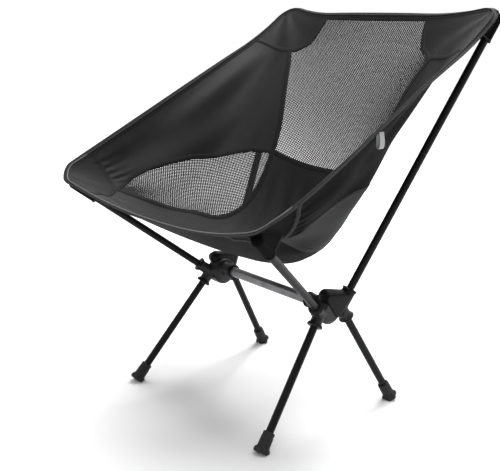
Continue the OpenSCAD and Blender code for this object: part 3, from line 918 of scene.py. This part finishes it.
def corner(end, side, seam, outline, pocket_length, widen):
    """The patch over a corner and the pocket that the pole pushes into, under it."""
    pole = "front_pole" if end == "front" else "rear_pole_upper"
    body = f"{pole}_{side}"
    grid = patch_grid(seam, outline)
    patch = sewn_panel(f"{end}_patch_{side}", grid, PATCH_FABRIC, side, 1.2 * MM, 0.3 * MM)
    tape = strip(f"{end}_patch_tape_{side}", smooth(seam), SEAM_TAPE, TAPE, side)
    shell = pocket_shell(end, pocket_length, widen)
    # The pocket's cloth is painted as dark as the sling's shaded underside.
    pocket = free_sheet(f"{end}_pocket_cloth_{side}", shell, 1 * MM, UNDERSIDE_SHADE, side, 0.5 * MM)
    hem = free_sheet(f"{end}_pocket_hem_{side}", shell[-3:], 1.8 * MM, TAPE, side, 0.7 * MM)
    sewn_lines = [smooth([nearest(p) for p in shell[4:-1:6, k]], 4) for k in (0, -1)]
    rows = seam_rows(smooth(seam)) + [(line, 0, STITCH_UP) for line in sewn_lines]
    sewing = stitches(f"{end}_patch_stitches_{side}", rows, side)
    for piece in (patch, tape, pocket, hem, sewing):
        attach(piece, body)
    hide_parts(f"{end}_corner_patch_{side}")
    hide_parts(f"{end}_pocket_{side}")
    declare_cloth(patch)
    declare_cloth(pocket)


for side in SIDES:
    clothe_front(side)
    clothe_rear(side)
    corner("front", side, FRONT_PATCH_SEAM, front_outline(0.725, 0.28), 48 * MM, 12 * MM)
    corner("rear", side, REAR_PATCH_SEAM, rear_outline(0.913, 0.492), 38 * MM, 4 * MM)
clothe_middle()

# ---- ribbon tab ----

RIBBON_V = 0.648


def ribbon():
    """A folded tab of ribbon that hangs from the left edge."""
    root = taut(np.array(1.0), np.array(RIBBON_V)) + np.array([3, 0, -3]) * MM
    width = 10.2 * MM
    path = [(0, 0), (1.5, -8), (2.5, -16), (1, -23), (-2.5, -24), (-4.5, -19), (-4.5, -10), (-4, -3)]
    line = smooth(path, 5) * MM
    rows = [[root + np.array([x, s * width, z]) for s in np.linspace(-0.5, 0.5, 5)] for x, z in line]
    at = np.array(rows)
    piece = free_sheet("hang_ribbon", at, 0.9 * MM, RIBBON, "left")
    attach(piece, "root")
    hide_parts("hang_loop")
    declare_cloth(piece)


ribbon()

# ---- hubs ----


def rod_mesh(mesh, start, end, radius, sides=40):
    """A round rod between two points."""
    start, end = Vector(start), Vector(end)
    way = end - start
    turn = way.to_track_quat("Z", "Y").to_matrix().to_4x4()
    place = Matrix.Translation((start + end) / 2) @ turn
    bmesh.ops.create_cone(
        mesh, cap_ends=True, segments=sides, radius1=radius, radius2=radius, depth=way.length, matrix=place
    )


def ball_mesh(mesh, middle, radius):
    bmesh.ops.create_uvsphere(
        mesh, u_segments=32, v_segments=16, radius=radius, matrix=Matrix.Translation(Vector(middle))
    )


def object_from(mesh, name, material=None):
    data = bpy.data.meshes.new(name)
    bmesh.ops.recalc_face_normals(mesh, faces=mesh.faces)
    mesh.to_mesh(data)
    mesh.free()
    if material is not None:
        data.materials.append(material)
    made = bpy.data.objects.new(name, data)
    bpy.context.scene.collection.objects.link(made)
    return made


def bake_modifiers(piece):
    """Makes the modifiers' result the piece's own mesh."""
    bpy.context.view_layer.update()
    result = piece.evaluated_get(bpy.context.evaluated_depsgraph_get())
    data = bpy.data.meshes.new_from_object(result)
    piece.modifiers.clear()
    piece.data = data
    return piece


# For each socket: its apex, floor, mouth, sleeve radius, rim radius and rim length
SOCKETS = {
    "front_pole": ("front", 8, 28, 10, 12, 6),
    "front_leg": ("front", 9, 26, 10, 12.5, 6),
    "rear_pole": ("rear", 12, 34, 11.5, 12, 5),
    "rear_leg": ("rear", 9, 26, 10, 12.5, 6),
}
SOCKET_R = 6.62 * MM
CROSSBAR_BORE_R = 9.1
VOXEL = 1.1 * MM
# For each collar round a socket: its distance from the mouth and its radius
COLLARS = {"front_leg": (1, 12.4), "rear_leg": (1, 12.4), "front_pole": (0.5, 12), "rear_pole": (0.5, 12)}
COLLAR_WIDTH = 3 * MM
COLLAR_BULGE = 0.9 * MM
HUB = CROSSBAR + np.array([APEX["front"][0], 0, 0])


def across_mesh(mesh, low, high, y, z, radius, sides=48):
    """A disc across the hub, from low to high, its place measured from the crossbar's axis in mm."""
    ends = [HUB + np.array([x, y, z]) * MM for x in (low, high)]
    rod_mesh(mesh, *ends, radius * MM, sides)


def hulled(mesh):
    """Leaves only the convex hull of what is in the mesh."""
    made = bmesh.ops.convex_hull(mesh, input=mesh.verts)
    spare = {item for item in made["geom_interior"] if isinstance(item, bmesh.types.BMVert)}
    bmesh.ops.delete(mesh, geom=list(spare), context="VERTS")


def add_sleeve(mesh, name):
    end, _, mouth, radius, rim_radius, rim = SOCKETS[name]
    axis, apex = AXIS[name], APEX[end]
    rod_mesh(mesh, apex, apex + axis * mouth * MM, radius * MM)
    rod_mesh(mesh, apex + axis * (mouth - rim) * MM, apex + axis * mouth * MM, rim_radius * MM)


def lower_solid():
    """The hub's rounded lower body with its crossbar, leg and front pole sockets."""
    solid = bmesh.new()
    for low, high, radius in ((-20, 4, 24), (-24, 10, 18), (-22, 7, 22)):
        across_mesh(solid, low, high, 1, -6, radius, 64)
    for name in ("front_pole", "front_leg", "rear_leg"):
        add_sleeve(solid, name)
    ball_mesh(solid, APEX["front"], 11 * MM)
    across_mesh(solid, -43, 0, 0, 0, 12.5)
    return object_from(solid, "lower_solid")


def shield_solid():
    """The cover on the hub's outer side, drawn out into the rear pole's sleeve."""
    solid = bmesh.new()
    ball_mesh(solid, HUB + np.array([-1, -6, 19]) * MM, 12.5 * MM)
    across_mesh(solid, -4, 13, -7, 18, 7)
    across_mesh(solid, -8, 12, 10, -16, 3)
    axis, apex = AXIS["rear_pole"], APEX["rear"]
    rod_mesh(solid, apex - axis * 12 * MM, apex + axis * 26 * MM, 11.5 * MM)
    hulled(solid)
    add_sleeve(solid, "rear_pole")
    return object_from(solid, "shield_solid")


def hub_bores():
    """Everything that is hollow in a hub."""
    bores = bmesh.new()
    for name, (end, floor, mouth, _, _, _) in SOCKETS.items():
        axis, apex = AXIS[name], APEX[end]
        rod_mesh(bores, apex + axis * floor * MM, apex + axis * (mouth + 4) * MM, SOCKET_R, 48)
    across_mesh(bores, -46, -14, 0, 0, CROSSBAR_BORE_R)
    return object_from(bores, "hub_bores")


def moulded(solid, rounding):
    """The solid with its corners run together and its sockets bored."""
    remesh = solid.modifiers.new("remesh", "REMESH")
    remesh.mode = "VOXEL"
    remesh.voxel_size = VOXEL
    soften = solid.modifiers.new("soften", "SMOOTH")
    soften.factor = 0.5
    soften.iterations = rounding
    bake_modifiers(solid)
    bores = hub_bores()
    cut = solid.modifiers.new("cut", "BOOLEAN")
    cut.operation = "DIFFERENCE"
    cut.solver = "EXACT"
    cut.use_self = True
    cut.object = bores
    bake_modifiers(solid)
    bpy.data.objects.remove(bores)
    return solid


def mirrored_copy(piece, name, side, material):
    data = piece.data.copy()
    data.materials.clear()
    data.materials.append(material)
    if side == "right":
        data.transform(Matrix.Diagonal((-1, 1, 1, 1)))
        data.flip_normals()
    data.polygons.foreach_set("use_smooth", np.ones(len(data.polygons), bool))
    data.set_sharp_from_angle(angle=math.radians(45))
    made = bpy.data.objects.new(name, data)
    bpy.context.scene.collection.objects.link(made)
    return made


def socket_ring(name, side):
    """A rounded collar round a socket's mouth."""
    at, radius = (x * MM for x in COLLARS[name])
    end, _, mouth, _, _, _ = SOCKETS[name]
    axis = AXIS[name]
    start = APEX[end] + axis * (mouth * MM - at - COLLAR_WIDTH)
    sides, beads = 48, 10
    turn = np.linspace(0, 2 * math.pi, sides, endpoint=False)
    across = unit(np.cross(axis, [0, 0, 1]))
    other = np.cross(axis, across)
    round_it = np.linspace(0, 2 * math.pi, beads, endpoint=False)
    rings = []
    for t in turn:
        out = across * math.cos(t) + other * math.sin(t)
        rings.append([
            start + axis * COLLAR_WIDTH * (0.5 + 0.5 * math.cos(b))
            + out * (radius + COLLAR_BULGE * math.sin(b))
            for b in round_it
        ])
    points = np.array(rings).reshape(-1, 3)
    index = grid_faces(sides, beads, ring=True)
    last = np.stack([
        (sides - 1) * beads + np.arange(beads),
        (sides - 1) * beads + (np.arange(beads) + 1) % beads,
        (np.arange(beads) + 1) % beads,
        np.arange(beads),
    ], 1)
    return make_object(f"{name}_collar_{side}", points, np.vstack([index, last]), NYLON, side)


def add_hubs():
    lower, shield = moulded(lower_solid(), 8), moulded(shield_solid(), 14)
    for side in SIDES:
        shell = mirrored_copy(lower, f"hub_moulding_{side}", side, PALE_NYLON)
        cover = mirrored_copy(shield, f"hub_shield_{side}", side, NYLON)
        rings = [socket_ring(name, side) for name in COLLARS]
        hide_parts(f"hub_{side}")
        for piece in (shell, cover, *rings):
            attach(piece, "root")
    for spare in (lower, shield):
        bpy.data.objects.remove(spare)


add_hubs()

# ---- feet ----

FOOT_LOBES = 6
# Distance up from the sole's end, radius, and depth of the lobes, along the foot
FOOT_PROFILE = [
    (35, 7.0, 0), (35, 8.6, 0), (34.2, 9.4, 0), (31, 9.9, 0), (30, 9.3, 0), (28, 9.3, 0), (27, 9.9, 0),
    (24, 10, 0), (18, 10, 0), (12, 10.2, 0), (9.2, 10.8, 0.3), (8, 11.9, 0.9), (6, 12.5, 1.2),
    (2.5, 12.4, 1.3), (0.8, 11.8, 1.2), (0, 10.5, 0.9), (0, 5, 0.2), (0, 0.02, 0),
]


def foot(leg, side):
    """A rubber foot: a ribbed sleeve on the leg with a lobed sole, worn flat by the ground."""
    axis = AXIS[leg]
    end = ENDS[leg][1] + axis * 8 * MM
    across = unit(np.cross(axis, [0, 1, 0]))
    other = np.cross(axis, across)
    turn = np.linspace(0, 2 * math.pi, 72, endpoint=False)
    rings = []
    for back, radius, lobe in FOOT_PROFILE:
        r = (radius + lobe * np.cos(FOOT_LOBES * turn)) * MM
        ring = across * np.cos(turn)[:, None] + other * np.sin(turn)[:, None]
        rings.append(end - axis * back * MM + ring * r[:, None])
    at = np.array(rings)
    at[..., 2] = np.maximum(at[..., 2], 0)
    rows, columns = at.shape[:2]
    faces = [tuple(face) for face in grid_faces(rows, columns, ring=True, flip=True)]
    faces += [tuple((rows - 1) * columns + k for k in range(columns))]
    piece = make_object(f"{leg}_rubber_{side}", at, faces, RUBBER, side, sharp=50)
    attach(piece, f"{leg}_{side}")
    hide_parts(f"{leg}_foot_{side}")


for side in SIDES:
    for leg in ("front_leg", "rear_leg"):
        foot(leg, side)

# ---- the CAD parts that stay ----


def finish_of(name):
    if name == "crossbar" or "ferrule" in name:
        return GREY_TUBE
    if "shock_cord" in name:
        return CORD
    if "tube" in name:
        return BLACK_TUBE
    return NYLON


def paint_frame():
    for name, node in NODES.items():
        if node.hide_render:
            continue
        node.data.materials.clear()
        node.data.materials.append(finish_of(name))


paint_frame()

# ---- studio ----


def add_floor():
    made, tree, shader = new_material("floor_paint", (0.88, 0.88, 0.88), 0.75)
    coords = tree.nodes.new("ShaderNodeTexCoord").outputs["Object"]
    tree.links.new(
        ramp(tree, noise(tree, coords, 3), 0.3, 0.7, (0.87, 0.87, 0.87), (0.89, 0.89, 0.89)),
        shader.inputs["Base Color"],
    )
    mesh = bpy.data.meshes.new("floor")
    reach = 12
    corners = [(-reach, -reach, 0), (reach, -reach, 0), (reach, reach, 0), (-reach, reach, 0)]
    mesh.from_pydata(corners, [], [(0, 1, 2, 3)])
    mesh.materials.append(made)
    floor = bpy.data.objects.new("floor", mesh)
    bpy.context.scene.collection.objects.link(floor)


def add_light(name, place, size, watts):
    light = bpy.data.lights.new(name, "AREA")
    light.shape = "SQUARE"
    light.size = size
    light.energy = watts
    lamp = bpy.data.objects.new(name, light)
    lamp.location = place
    lamp.rotation_euler = (Vector((0, 0, 0.35)) - Vector(place)).to_track_quat("-Z", "Y").to_euler()
    bpy.context.scene.collection.objects.link(lamp)


def add_sky_light(place, strength, angle):
    """One broad light from far overhead, which keeps the floor evenly white."""
    light = bpy.data.lights.new("sky", "SUN")
    light.energy = strength
    light.angle = math.radians(angle)
    lamp = bpy.data.objects.new("sky", light)
    lamp.rotation_euler = (-Vector(place)).to_track_quat("-Z", "Y").to_euler()
    bpy.context.scene.collection.objects.link(lamp)


def add_world():
    """White to the camera, and a softer grey as the room's light."""
    world = bpy.data.worlds.new("studio")
    world.use_nodes = True
    tree = world.node_tree
    tree.nodes.clear()
    room = add_node(tree, "ShaderNodeBackground", Color=(1, 1, 1, 1), Strength=0.45)
    backdrop = add_node(tree, "ShaderNodeBackground", Color=(1, 1, 1, 1), Strength=1.0)
    mix = tree.nodes.new("ShaderNodeMixShader")
    path = tree.nodes.new("ShaderNodeLightPath")
    output = tree.nodes.new("ShaderNodeOutputWorld")
    tree.links.new(path.outputs["Is Camera Ray"], mix.inputs["Fac"])
    tree.links.new(room.outputs["Background"], mix.inputs[1])
    tree.links.new(backdrop.outputs["Background"], mix.inputs[2])
    tree.links.new(mix.outputs["Shader"], output.inputs["Surface"])
    bpy.context.scene.world = world


def light_studio():
    add_floor()
    add_world()
    add_light("key", (-0.9, 1.6, 2.6), 1.2, 75)
    add_light("fill", (1.2, -2.6, 2.2), 1.6, 12)
    add_light("front", (-2.2, -1.9, 1.1), 0.4, 7)
    add_sky_light((0.3, 0.25, 3), 2.6, 50)
    bpy.context.scene.view_settings.view_transform = "Standard"


light_studio()
